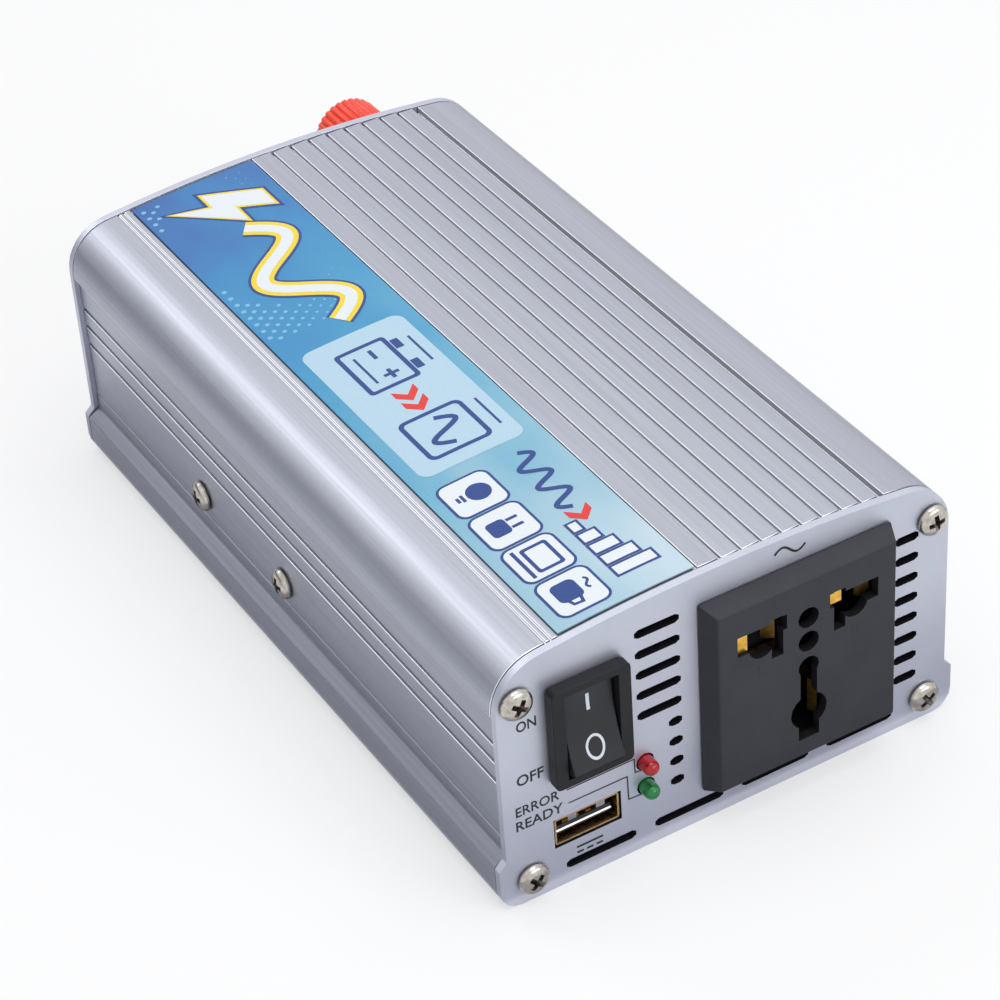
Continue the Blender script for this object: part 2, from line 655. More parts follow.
def ribbed_crown():
    """The top line of the shell from its right corner to its left one."""
    points = groove(EDGE_GROOVE_X, EDGE_GROOVE_WIDTH, EDGE_GROOVE_DEPTH)
    for rib in range(1, RIB_GROOVES):
        points += groove(EDGE_GROOVE_X - rib * RIB_PITCH, RIB_GROOVE_WIDTH, RIB_GROOVE_DEPTH)
        x, z = points[-4]
        points[-4] = (x, z - RIB_SLOPE)
    recess = LABEL_THICKNESS + GAP
    points += [(LABEL_RIGHT, crown(LABEL_RIGHT))]
    points += crown_run(LABEL_RIGHT, LABEL_LEFT, recess)
    points += [(LABEL_LEFT, crown(LABEL_LEFT))]
    for offset in FINE_GROOVE_OFFSETS:
        points += groove(LABEL_LEFT - offset, FINE_GROOVE_WIDTH, FINE_GROOVE_DEPTH)
    return points


def shell_side():
    """The outside of the right wall of the shell, upwards."""
    points = [(WALL_HALF_WIDTH, SEAM_HEIGHT)]
    for height in SIDE_GROOVE_HEIGHTS:
        low = height - SIDE_GROOVE_WIDTH / 2
        high = height + SIDE_GROOVE_WIDTH / 2
        depth = WALL_HALF_WIDTH - SIDE_GROOVE_DEPTH
        points += [(WALL_HALF_WIDTH, low), (depth, low), (depth, high), (WALL_HALF_WIDTH, high)]
    shoulder = CORNER_Z - SHOULDER
    return points + [(WALL_HALF_WIDTH, shoulder - WALL_STEP / 2), (PANEL_HALF_WIDTH, shoulder)]


def side_screw_places():
    """Y and side of each of the four side screws."""
    places = []
    for side, middle in ((-1, LEFT_CLAMP_Y), (1, RIGHT_CLAMP_Y)):
        for end in (-1, 1):
            places.append((side, middle + end * SIDE_SCREW_SPACING / 2))
    return places


def make_top_shell():
    port_x = TOP_SCREW_X - PORT_RADIUS
    port_low = TOP_SCREW_Z - PORT_RADIUS
    side = shell_side() + top_corner()
    inside = [(INNER_HALF_WIDTH, SEAM_HEIGHT), (INNER_HALF_WIDTH, port_low), (port_x, port_low)]
    ceiling = crown_run(-port_x, port_x, TOP_WALL)
    outline = side + ribbed_crown() + mirrored(side) + mirrored(inside)[::-1] + ceiling
    outline += inside[::-1]
    holes = [circle((way * TOP_SCREW_X, TOP_SCREW_Z), SCREW_HOLE_RADIUS, 12) for way in (-1, 1)]
    mesh = extruded_mesh([outline] + holes, 2 * SHELL_HALF_LENGTH)
    shell = add_object("top_shell", mesh, ANODISED)
    for side, y in side_screw_places():
        drill = drum_mesh(SCREW_HOLE_RADIUS, -2 * SIDE_WALL, 2 * SIDE_WALL, 12)
        cut(shell, drill, at(side * WALL_HALF_WIDTH, y, SIDE_SCREW_Z, RIGHT))


def foot_side():
    """The outside of the tray's right foot, downwards from its ledge."""
    foot = (FLANGE_HALF_WIDTH - FOOT_RADIUS, FOOT_RADIUS)
    edge = [(FLANGE_HALF_WIDTH, LEDGE_HEIGHT - FLANGE_STEP)]
    return edge + arc(foot, FOOT_RADIUS, 0.0, -math.pi / 2, FOOT_FACETS)


def make_base_tray():
    top = SEAM_HEIGHT - GAP
    lip_outer = INNER_HALF_WIDTH - GAP
    lip_inner = lip_outer - LIP_THICKNESS
    lip_top = SEAM_HEIGHT + LIP_HEIGHT
    grip_x = PORT_INNER_X + BOARD_GRIP
    outside = [(WALL_HALF_WIDTH, top), (WALL_HALF_WIDTH, LEDGE_HEIGHT)] + foot_side()
    inside = [(lip_outer, top), (lip_outer, lip_top), (lip_inner, lip_top), (lip_inner, PORT_TOP),
              (PORT_INNER_X, PORT_TOP), (PORT_INNER_X, BOARD_TOP + GAP), (grip_x, BOARD_TOP + GAP),
              (grip_x, BOARD_BOTTOM - GAP), (PORT_INNER_X, BOARD_BOTTOM - GAP),
              (PORT_INNER_X, FLOOR)]
    outline = outside + mirrored(outside) + mirrored(inside)[::-1] + inside[::-1]
    centres = [(way * BOTTOM_SCREW_X, BOTTOM_SCREW_Z) for way in (-1, 1)]
    holes = [circle(centre, SCREW_HOLE_RADIUS, 12) for centre in centres]
    mesh = extruded_mesh([outline] + holes, 2 * SHELL_HALF_LENGTH)
    add_object("base_tray", mesh, ANODISED)


def panel_outline():
    side = [(PANEL_HALF_WIDTH, LEDGE_HEIGHT)] + top_corner()
    foot = [(PANEL_HALF_WIDTH, LEDGE_HEIGHT)] + foot_side()
    top = crown_run(CORNER_X, -CORNER_X)[1:-1]
    return side + top + mirrored(side) + mirrored(foot[1:])[::-1] + foot[:0:-1]


def panel_screw_places():
    places = [(way * TOP_SCREW_X, TOP_SCREW_Z) for way in (-1, 1)]
    return places + [(way * BOTTOM_SCREW_X, BOTTOM_SCREW_Z) for way in (-1, 1)]


def cooling_slots():
    slots = []
    for row in range(LONG_SLOTS + SHORT_SLOTS):
        length = LONG_SLOT if row < LONG_SLOTS else SHORT_SLOT
        height = LEFT_SLOTS_TOP - row * SLOT_PITCH
        slots.append(slot(LEFT_SLOTS_END - length, LEFT_SLOTS_END, height))
    for row in range(RIGHT_SLOTS):
        height = RIGHT_SLOTS_TOP - row * SLOT_PITCH
        slots.append(slot(RIGHT_SLOTS_END - RIGHT_SLOT, RIGHT_SLOTS_END, height))
    for place in range(FLOOR_SLOTS):
        middle = (place - (FLOOR_SLOTS - 1) / 2) * FLOOR_SLOT_PITCH
        slots.append(slot(middle - FLOOR_SLOT / 2, middle + FLOOR_SLOT / 2, FLOOR_SLOT_Z))
    return slots


def make_front_panel():
    room = 2 * GAP
    cuts = [circle(place, SCREW_HOLE_RADIUS, 12) for place in panel_screw_places()]
    cuts += cooling_slots()
    cuts.append(rectangle((SWITCH_X, SWITCH_Z), SWITCH_BODY_WIDTH + room, SWITCH_BODY_HEIGHT + room))
    cuts.append(rectangle((SOCKET_X, SOCKET_Z), SOCKET_BODY_WIDTH + room, SOCKET_BODY_HEIGHT + room))
    cuts.append(rectangle((USB_X, USB_Z), USB_CUT_WIDTH, USB_CUT_HEIGHT))
    for height in (FAULT_LAMP_Z, POWER_LAMP_Z):
        cuts.append(circle((LAMP_X, height), LAMP_RADIUS + GAP, 12))
    mesh = extruded_mesh([panel_outline()] + cuts, PANEL_THICKNESS)
    place = at(0, -HALF_LENGTH + PANEL_THICKNESS / 2, 0)
    add_object("front_panel", mesh, PANEL_SHEET, place)


def grille_openings():
    """Arc-shaped openings between the hub, the spokes and the rim of the grille."""
    centre = (FAN_X, FAN_Z)
    openings = []
    for spoke in range(GRILLE_SPOKES):
        start = spoke * 2 * math.pi / GRILLE_SPOKES
        end = start + 2 * math.pi / GRILLE_SPOKES
        outer = math.asin(GRILLE_SPOKE_WIDTH / 2 / GRILLE_OUTER_RADIUS)
        inner = math.asin(GRILLE_SPOKE_WIDTH / 2 / GRILLE_HUB_RADIUS)
        rim = arc(centre, GRILLE_OUTER_RADIUS, start + outer, end - outer, GRILLE_FACETS)
        hub = arc(centre, GRILLE_HUB_RADIUS, end - inner, start + inner, GRILLE_FACETS)
        openings.append(rim + hub)
    return openings


def fan_screw_places():
    reach = FAN_HOLES / 2
    return [(FAN_X + way * reach, FAN_Z + way * reach) for way in (-1, 1)]


def post_places():
    return {"red": (POST_X, RED_POST_Z), "black": (POST_X, BLACK_POST_Z)}


def make_rear_panel():
    screws = panel_screw_places() + fan_screw_places()
    cuts = [circle(place, SCREW_HOLE_RADIUS, 12) for place in screws]
    cuts += grille_openings()
    cuts += [circle(place, SPIGOT_RADIUS + GAP) for place in post_places().values()]
    mesh = extruded_mesh([panel_outline()] + cuts, PANEL_THICKNESS)
    place = at(0, HALF_LENGTH - PANEL_THICKNESS / 2, 0)
    add_object("rear_panel", mesh, PANEL_SHEET, place)


def screw_mesh(length):
    """A pan-head screw along local Z, its head from 0 upwards."""
    edge = SCREW_HEAD_HEIGHT * 0.4
    rise = SCREW_HEAD_HEIGHT - edge
    dome = [(SCREW_HEAD_RADIUS * math.sin(a), edge + rise * math.cos(a))
            for a in [math.radians(angle) for angle in (0, 50, 90)]]
    dome[0] = (0.0, SCREW_HEAD_HEIGHT)
    profile = dome + [(SCREW_HEAD_RADIUS, 0.0), (SCREW_SHANK_RADIUS, 0.0),
                      (SCREW_SHANK_RADIUS, -length), (0.0, -length)]
    return turned_mesh(profile, SCREW_SEGMENTS)


def make_case_screws():
    screw = screw_mesh(SCREW_LENGTH)
    seat = HALF_LENGTH + GAP
    for number, (x, z) in enumerate(panel_screw_places(), 1):
        add_object(f"front_panel_screw_{number}", screw, NICKEL, at(x, -seat, z, FRONT))
        add_object(f"rear_panel_screw_{number}", screw, NICKEL, at(x, seat, z, REAR))
    reach = WALL_HALF_WIDTH + GAP
    clamp_screw = screw_mesh(reach - CLAMP_X)
    for number, (side, y) in enumerate(side_screw_places(), 1):
        turn = RIGHT if side > 0 else LEFT
        add_object(f"side_screw_{number}", clamp_screw, NICKEL, at(side * reach, y, SIDE_SCREW_Z, turn))


def make_label():
    top = crown_run(LABEL_RIGHT - GAP, LABEL_LEFT + GAP)
    bottom = crown_run(LABEL_LEFT + GAP, LABEL_RIGHT - GAP, LABEL_THICKNESS)
    length = 2 * (SHELL_HALF_LENGTH - LABEL_MARGIN)
    add_object("label", extruded_mesh([top + bottom], length), LABEL_FILM)


# ---------------------------------------------------------------- switch

def make_switch():
    face = -HALF_LENGTH
    rear = face + SWITCH_BODY_DEPTH
    opening = (ROCKER_WIDTH + 2 * GAP, 2 * (ROCKER_RADIUS + GAP))
    bezel_edge = rounded_rectangle((0, 0), BEZEL_WIDTH, BEZEL_HEIGHT, 1.0 * MM)
    mesh = extruded_mesh([bezel_edge], BEZEL_THICKNESS)
    bezel_y = face - GAP - BEZEL_THICKNESS / 2
    housing = add_object("switch_housing", mesh, BLACK_PLASTIC, at(SWITCH_X, bezel_y, SWITCH_Z))
    soften(housing, BEZEL_EDGE * 0.6, 2)
    half = (SWITCH_BODY_WIDTH / 2, SWITCH_BODY_HEIGHT / 2)
    body = box_mesh((SWITCH_X - half[0], bezel_y, SWITCH_Z - half[1]),
                    (SWITCH_X + half[0], rear, SWITCH_Z + half[1]))
    join(housing, body)
    well = box_mesh((SWITCH_X - opening[0] / 2, bezel_y - BEZEL_THICKNESS, SWITCH_Z - opening[1] / 2),
                    (SWITCH_X + opening[0] / 2, rear - SWITCH_BACK, SWITCH_Z + opening[1] / 2))
    cut(housing, well)
    pin_reach = ROCKER_WIDTH / 2 + PIVOT_LENGTH + GAP
    pin_hole = drum_mesh(PIVOT_RADIUS + GAP, -pin_reach, pin_reach, 12)
    cut(housing, pin_hole, at(SWITCH_X, PIVOT_Y, SWITCH_Z, RIGHT))
    for way in (-1, 1):
        z = SWITCH_Z + way * BLADE_SPACING / 2
        blade = box_mesh((SWITCH_X - BLADE_WIDTH / 2, rear - SWITCH_BACK / 2, z - BLADE_THICKNESS / 2),
                         (SWITCH_X + BLADE_WIDTH / 2, rear + BLADE_LENGTH, z + BLADE_THICKNESS / 2))
        join(housing, blade)
    make_rocker()


def rocker_face(tip):
    """Points on the hollow half of the face, from its tip towards the middle."""
    points = []
    for share in (0.25, 0.5, 0.75):
        height = tip[1] + (ROCKER_CENTRE - tip[1]) * share
        points.append((tip[0] * (1 - share), height - 4 * ROCKER_HOLLOW * share * (1 - share)))
    return points


def make_rocker():
    """The rocker at rest, pressed in at its upper end, with its origin on the pivot."""
    to_face = ROCKER_CENTRE * math.cos(ROCKER_V)
    corner = ROCKER_V + math.asin(to_face / ROCKER_RADIUS)
    back = math.asin(ROCKER_BACK / ROCKER_RADIUS)
    upper = arc((0, 0), ROCKER_RADIUS, -back, corner, 5)
    lower = arc((0, 0), ROCKER_RADIUS, math.pi - corner, math.pi + back, 5)
    outline = upper + rocker_face(upper[-1]) + [(0.0, ROCKER_CENTRE)]
    outline += [(-x, z) for x, z in rocker_face(upper[-1])[::-1]] + lower
    mesh = extruded_mesh([outline], ROCKER_WIDTH, UP_AND_FORWARD)
    pose = at(SWITCH_X, PIVOT_Y, SWITCH_Z, Matrix.Rotation(-ROCKER_TILT, 4, "X"))
    rocker = add_object("switch_rocker", mesh, BLACK_PLASTIC, pose)
    pin = drum_mesh(PIVOT_RADIUS, -ROCKER_WIDTH / 2 - PIVOT_LENGTH, ROCKER_WIDTH / 2 + PIVOT_LENGTH, 12)
    join(rocker, pin, at(SWITCH_X, PIVOT_Y, SWITCH_Z, RIGHT))


# ---------------------------------------------------------------- mains socket

def pin_side_outlines(way):
    """The holes of one side of the socket, as overlapping outlines."""
    x, z, width, height = BROAD_PIN
    shapes = [rectangle((way * x, z), width, height)]
    x, z, radius = ROUND_PIN
    shapes.append(circle((way * x, z), radius))
    x, z, width, height = FLAT_PIN
    shapes.append(rectangle((way * x, z), width, height))
    x, z, width, height = SLANTED_PIN
    shapes.append(rectangle((way * x, z), width, height))
    return shapes


def socket_outlines():
    shapes = pin_side_outlines(-1) + pin_side_outlines(1)
    shapes += [circle((0, height), MIDDLE_HOLE_RADIUS, 12) for height in MIDDLE_HOLES]
    z, width, height = EARTH_SLOT
    shapes.append(rectangle((0, z), width, height))
    shapes.append(circle((0, z + height / 2), MIDDLE_HOLE_RADIUS, 12))
    shapes.append(circle((0, EARTH_ROUND[0]), EARTH_ROUND[1]))
    z, width, height = EARTH_PIN
    shapes.append(rectangle((0, z), width, height))
    return shapes


def tapered_plate_mesh():
    """The socket's plate, narrower and softened in front, along local Z from 0 upwards."""
    shape = bmesh.new()
    bmesh.ops.create_cube(shape, size=1.0)
    for vertex in shape.verts:
        lean = PLATE_SLOPE if vertex.co.z > 0 else 0.0
        vertex.co.x *= PLATE_WIDTH - 2 * lean
        vertex.co.y *= PLATE_HEIGHT - 2 * lean
        vertex.co.z = PLATE_PROUD - GAP if vertex.co.z > 0 else 0.0
    edges = [edge for edge in shape.edges if max(end.co.z for end in edge.verts) > 0]
    bmesh.ops.bevel(shape, geom=edges, offset=PLATE_EDGE, segments=2, profile=0.5, affect="EDGES")
    mesh = bpy.data.meshes.new("plate")
    shape.to_mesh(mesh)
    shape.free()
    return mesh


def make_socket():
    place = at(SOCKET_X, PLATE_Y, SOCKET_Z, FRONT)
    plate = add_object("socket_plate", tapered_plate_mesh(), BLACK_PLASTIC, place)
    half_x = SOCKET_BODY_WIDTH / 2
    half_z = SOCKET_BODY_HEIGHT / 2
    body_front = PLATE_Y - 1.0 * MM
    body = box_mesh((SOCKET_X - half_x, body_front, SOCKET_Z - half_z),
                    (SOCKET_X + half_x, SOCKET_BODY_REAR, SOCKET_Z + half_z))
    join(plate, body)
    inner_x = half_x - SOCKET_WALL
    inner_z = half_z - SOCKET_WALL
    face_back = -HALF_LENGTH - PLATE_PROUD + PLATE_FACE
    well = box_mesh((SOCKET_X - inner_x, face_back, SOCKET_Z - inner_z),
                    (SOCKET_X + inner_x, SOCKET_BODY_REAR + GAP, SOCKET_Z + inner_z))
    cut(plate, well)
    for outline in socket_outlines():
        hole = extruded_mesh([outline], 4 * PLATE_FACE)
        cut(plate, hole, at(SOCKET_X, face_back, SOCKET_Z))
    back = box_mesh((SOCKET_X - half_x, SOCKET_BODY_REAR + GAP, SOCKET_Z - half_z),
                    (SOCKET_X + half_x, SOCKET_BODY_REAR + GAP + SOCKET_BACK, SOCKET_Z + half_z))
    back_cover = add_object("socket_back", back, BLACK_PLASTIC)
    make_contacts(back_cover, face_back)


def make_contacts(back_cover, face_back):
    """Brass clips that grip a plug's pins. Each has a tail through the back of the socket."""
    rear = SOCKET_BODY_REAR - CONTACT_STRIP / 2
    front = face_back + GAP + CONTACT_STRIP
    tail_end = SOCKET_BODY_REAR + SOCKET_BACK + 5.0 * MM
    inner_x = FLAT_PIN[0] - FLAT_PIN[2] / 2 - CONTACT_STRIP
    outer_x = BROAD_PIN[0] + BROAD_PIN[2] / 2 + CONTACT_STRIP / 2
    clips = {"neutral_contact": (-1, BROAD_PIN[1]), "line_contact": (1, BROAD_PIN[1])}
    shapes = {}
    for name, (way, z) in clips.items():
        ends = (way * inner_x, way * outer_x)
        shapes[name] = (min(ends), max(ends), z, PIN_LIP)
    half = EARTH_ROUND[1] + CONTACT_STRIP / 2
    shapes["earth_contact"] = (-half, half, EARTH_ROUND[0], EARTH_LIP)
    for name, (low, high, z, lip) in shapes.items():
        half_clip = [(low + lip, front + CONTACT_LIP_FALL), (low + CONTACT_BEND, front),
                     (low, front + CONTACT_BEND), (low, rear)]
        route = half_clip + [(low + high - x, y) for x, y in half_clip[::-1]]
        mesh = extruded_mesh([strip(route, CONTACT_STRIP)], CONTACT_HEIGHT, UP)
        clip = add_object(name, mesh, BRASS, at(SOCKET_X, 0, SOCKET_Z + z))
        middle = SOCKET_X + (low + high) / 2
        tail_low = Vector((middle - 1.5 * MM, rear, SOCKET_Z + z - CONTACT_STRIP / 2))
        tail_high = Vector((middle + 1.5 * MM, tail_end, SOCKET_Z + z + CONTACT_STRIP / 2))
        join(clip, box_mesh(tail_low, tail_high))
        room = Vector((GAP, GAP, GAP))
        cut(back_cover, box_mesh(tail_low - room, tail_high + room))


# ---------------------------------------------------------------- USB socket and lamps

def make_usb():
    front = -HALF_LENGTH + GAP
    centre = (USB_X, USB_Z)
    edge = rounded_rectangle(centre, USB_SHELL_WIDTH, USB_SHELL_HEIGHT, 0.5 * MM, 2)
    inner_width = USB_SHELL_WIDTH - 2 * USB_SHEET
    inner_height = USB_SHELL_HEIGHT - 2 * USB_SHEET
    mouth = rectangle(centre, inner_width, inner_height)
    shell = extruded_mesh([edge, mouth], USB_DEPTH)
    sleeve = add_object("usb_shell", shell, NICKEL, at(0, front + USB_DEPTH / 2, 0))
    spring_width, spring_height, spring_length = USB_SPRING
    for way in (-1, 1):
        x = USB_X + way * USB_SPRING_SPACING / 2
        top = USB_Z + inner_height / 2
        lip = front + 1.2 * MM
        wedge = [(lip, top + USB_SHEET / 2), (lip + spring_length, top - spring_height),
                 (lip + 3.0 * MM, top - spring_height * 0.6), (lip + 4.8 * MM, top + USB_SHEET / 2)]
        join(sleeve, extruded_mesh([wedge], spring_width, ACROSS), at(x, 0, 0))
    width, thickness, length = USB_TONGUE
    rear = front + USB_DEPTH
    floor = USB_Z - inner_height / 2
    plug_low = (USB_X - inner_width / 2 + GAP, rear - 4.0 * MM, floor + GAP)
    plug_high = (USB_X + inner_width / 2 - GAP, rear, floor + inner_height - GAP)
    tongue = add_object("usb_tongue", box_mesh(plug_low, plug_high), BLACK_PLASTIC)
    low = floor + USB_TONGUE_RISE
    arm_front = rear - 4.0 * MM - length
    join(tongue, box_mesh((USB_X - width / 2, arm_front, low),
                          (USB_X + width / 2, rear - 1.0 * MM, low + thickness)))
    for pin in range(USB_PINS):
        x = USB_X + (pin - (USB_PINS - 1) / 2) * USB_PIN_PITCH
        half = USB_PIN_WIDTH / 2
        top = low + thickness + USB_PIN_THICKNESS
        join(tongue, box_mesh((x - half, arm_front + 0.5 * MM, low + thickness / 2),
                              (x + half, rear - 3.0 * MM, top)))


def make_lamp(name, height, material):
    body = LAMP_PROUD - LAMP_RADIUS
    dome = [(LAMP_RADIUS * math.sin(a), body + LAMP_RADIUS * math.cos(a))
            for a in [math.radians(angle) for angle in (0, 30, 60, 90)]]
    dome[0] = (0.0, LAMP_PROUD)
    rim = -PANEL_THICKNESS - GAP
    flange = LAMP_RADIUS + 0.6 * MM
    base = LAMP_PROUD - LAMP_LENGTH
    profile = dome + [(LAMP_RADIUS, rim), (flange, rim), (flange, base), (0.0, base)]
    lamp = add_object(name, turned_mesh(profile, 12), material, at(LAMP_X, -HALF_LENGTH, height, FRONT))
    for way in (-1, 1):
        x = LAMP_X + way * LAMP_LEG_SPACING / 2
        start = -HALF_LENGTH - base - 0.5 * MM
        end = start + LAMP_LEG_REACH + (height - POWER_LAMP_Z)
        leg = [(start, height), (end, height), (end, STAND_Z)]
        join(lamp, extruded_mesh([strip(leg, LAMP_LEG)], LAMP_LEG, ACROSS), at(x, 0, 0))


# ---------------------------------------------------------------- circuit board and its parts

def make_board():
    board = box_mesh((-BOARD_HALF_WIDTH, BOARD_FRONT_Y, BOARD_BOTTOM),
                     (BOARD_HALF_WIDTH, BOARD_REAR_Y, BOARD_TOP))
    add_object("circuit_board", board, BOARD_RESIN)


def forward_of_rear(place):
    """A place on the board, measured forward from its rear edge."""
    return (place[0], BOARD_REAR_Y - place[1])


def make_transformer():
    x, y = forward_of_rear(TRANSFORMER)
    core_width = CORE_MIDDLE_LEG + 2 * (CORE_WINDOW + CORE_SIDE_LEG)
    half_height = CORE_THICKNESS / 2 + WINDING_WALL
    middle_z = STAND_Z + half_height
    window_length = CORE_LENGTH - 2 * CORE_YOKE
    window_x = (CORE_MIDDLE_LEG + CORE_WINDOW) / 2
    windows = [rectangle((way * window_x, 0), CORE_WINDOW, window_length) for way in (-1, 1)]
    core = extruded_mesh([rectangle((0, 0), core_width, CORE_LENGTH)] + windows, CORE_THICKNESS, UP)
    add_object("transformer_core", core, FERRITE, at(x, y, middle_z))
    outer_width = CORE_MIDDLE_LEG + 2 * (CORE_WINDOW - GAP)
    edge = rounded_rectangle((0, 0), outer_width, 2 * half_height, WINDING_CORNER)
    eye = rectangle((0, 0), CORE_MIDDLE_LEG + 2 * GAP, CORE_THICKNESS + 2 * GAP)
    winding = extruded_mesh([edge, eye], window_length - 2 * GAP)
    add_object("transformer_winding", winding, WINDING_TAPE, at(x, y, middle_z))


def make_capacitor(name, place, size):
    radius, height = size
    groove_z = height * 0.88
    profile = [(0.0, height), (radius - 0.8 * MM, height), (radius, height - 0.8 * MM),
               (radius, groove_z), (radius - 0.5 * MM, groove_z - 0.6 * MM),
               (radius, groove_z - 1.2 * MM), (radius, 0.0), (0.0, 0.0)]
    add_object(name, turned_mesh(profile, 20), SLEEVE, at(*place, STAND_Z))


def make_fuse():
    x, y = forward_of_rear(FUSE)
    length, width, height = FUSE_SIZE
    head = box_at(x, y, STAND_Z + height * 0.35, (length, width, height * 0.65))
    fuse = add_object("fuse", head, FUSE_PLASTIC)
    for way in (-1, 1):
        foot = box_at(x + way * length * 0.3, y, STAND_Z, (5.2 * MM, 0.8 * MM, height * 0.5))
        join(fuse, foot)


def transistor_mesh():
    """A power transistor whose back is at local x = 0, with three bent legs down to the board."""
    depth, width, height = TRANSISTOR_SIZE
    body = box_mesh((-depth, -width / 2, TRANSISTOR_BASE_Z),
                    (0, width / 2, TRANSISTOR_BASE_Z + height))
    thing = add_object("transistor", body, None, UP, CUTTERS)
    leg_x = -depth * 0.6
    foot_x = BOARD_HALF_WIDTH - 1.5 * MM - TRANSISTOR_X - depth
    thickness, leg_width = TRANSISTOR_LEG
    route = [(leg_x, TRANSISTOR_BASE_Z + 1.0 * MM), (leg_x, TRANSISTOR_BASE_Z - 2.0 * MM),
             (foot_x, TRANSISTOR_BASE_Z - 4.0 * MM), (foot_x, STAND_Z)]
    for leg in (-1, 0, 1):
        mesh = extruded_mesh([strip(route, thickness)], leg_width)
        join(thing, mesh, at(0, leg * TRANSISTOR_LEG_PITCH, 0))
    return baked_mesh(thing)


def make_clamped_row(side, name, middle_y, mesh):
    """Insulator, transistors and the bar that the side screws pull against them."""
    turn = UP if side > 0 else Matrix.Rotation(math.pi, 4, "Z")
    back = TRANSISTOR_X + TRANSISTOR_SIZE[0]
    for number in range(TRANSISTORS):
        y = middle_y + (number - (TRANSISTORS - 1) / 2) * TRANSISTOR_PITCH
        add_object(f"{name}_transistor_{number + 1}", mesh, BLACK_PLASTIC, at(side * back, y, 0, turn))
    half = CLAMP_LENGTH / 2
    low_z = SIDE_SCREW_Z - CLAMP_HEIGHT / 2
    bar = box_mesh((0, -half, low_z), (CLAMP_THICKNESS, half, low_z + CLAMP_HEIGHT))
    clamp = add_object(f"{name}_clamp_bar", bar, NICKEL, at(side * CLAMP_X, middle_y, 0, turn))
    pad_low = TRANSISTOR_BASE_Z
    pad = box_mesh((0, -half, pad_low), (INSULATOR_THICKNESS, half, pad_low + TRANSISTOR_SIZE[2]))
    pad_x = INNER_HALF_WIDTH - GAP - INSULATOR_THICKNESS
    insulator = add_object(f"{name}_insulator", pad, SILICONE, at(side * pad_x, middle_y, 0, turn))
    for end in (-1, 1):
        y = middle_y + end * SIDE_SCREW_SPACING / 2
        for piece in (clamp, insulator):
            drill = drum_mesh(SCREW_HOLE_RADIUS, CLAMP_X - SIDE_WALL, WALL_HALF_WIDTH, 12)
            cut(piece, drill, at(0, y, SIDE_SCREW_Z, RIGHT if side > 0 else LEFT))


# ---------------------------------------------------------------- fan

def make_fan_frame():
    centre = (0, 0)
    edge = rounded_rectangle(centre, FAN_SIZE, FAN_SIZE, FAN_CORNER)
    duct = circle(centre, FAN_DUCT_RADIUS, 32)
    reach = FAN_HOLES / 2
    holes = [circle((x * reach, z * reach), SCREW_HOLE_RADIUS, 12) for x in (-1, 1) for z in (-1, 1)]
    mesh = extruded_mesh([edge, duct] + holes, FAN_THICKNESS)
    middle_y = (FAN_FRONT_Y + FAN_REAR_Y) / 2
    frame = add_object("fan_frame", mesh, BLACK_PLASTIC, at(FAN_X, middle_y, FAN_Z))
    hub = drum_mesh(MOTOR_PLATE_RADIUS, 0, FAN_STRUT_THICKNESS, 24)
    join(frame, hub, at(FAN_X, FAN_REAR_Y, FAN_Z, REAR))
    for strut in range(FAN_STRUTS):
        angle = math.pi / 4 + strut * 2 * math.pi / FAN_STRUTS
        arm = box_mesh((0, -FAN_STRUT_WIDTH / 2, 0), (FAN_DUCT_RADIUS + 0.4 * MM, FAN_STRUT_WIDTH / 2,
                                                      FAN_STRUT_THICKNESS))
        join(frame, arm, at(FAN_X, FAN_REAR_Y, FAN_Z, REAR @ Matrix.Rotation(angle, 4, "Z")))
    stator = ROTOR_HUB_RADIUS - ROTOR_WALL - 2 * GAP
    stator_top = FAN_THICKNESS - ROTOR_CLEARANCE - ROTOR_WALL - 3 * GAP
    join(frame, drum_mesh(stator, 0, stator_top, 20), at(FAN_X, FAN_REAR_Y, FAN_Z, REAR))
    post_top = FAN_THICKNESS - ROTOR_CLEARANCE - ROTOR_WALL - GAP
    join(frame, drum_mesh(BEARING_RADIUS, 0, post_top, 16), at(FAN_X, FAN_REAR_Y, FAN_Z, REAR))
    bore = drum_mesh(ROTOR_SHAFT_RADIUS + GAP, FAN_STRUT_THICKNESS / 2, FAN_THICKNESS, 12)
    cut(frame, bore, at(FAN_X, FAN_REAR_Y, FAN_Z, REAR))


def blade_mesh(hub_low, hub_high):
    """One helical blade round local Z, its root inside the hub's wall."""
    root = ROTOR_HUB_RADIUS - ROTOR_WALL / 2
    tip = FAN_DUCT_RADIUS - ROTOR_TIP_GAP
    shape = bmesh.new()
    bmesh.ops.create_grid(shape, x_segments=2, y_segments=FAN_BLADE_STEPS, size=0.5)
    for vertex in shape.verts:
        radius = root + (vertex.co.x + 0.5) * (tip - root)
        share = vertex.co.y + 0.5
        angle = FAN_BLADE_SWEEP * (share - 0.5) * (1 + 0.3 * math.sin(math.pi * share) / 3)
        height = hub_low + 0.3 * MM + share * (hub_high - hub_low - 1.3 * MM)
        vertex.co = (radius * math.cos(angle), radius * math.sin(angle), height)
    mesh = bpy.data.meshes.new("blade")
    shape.to_mesh(mesh)
    shape.free()
    thing = bpy.data.objects.new("blade", mesh)
    CUTTERS.objects.link(thing)
    sheet = thing.modifiers.new("thickness", "SOLIDIFY")
    sheet.thickness = FAN_BLADE_THICKNESS
    sheet.offset = 0.0
    return baked_mesh(thing)


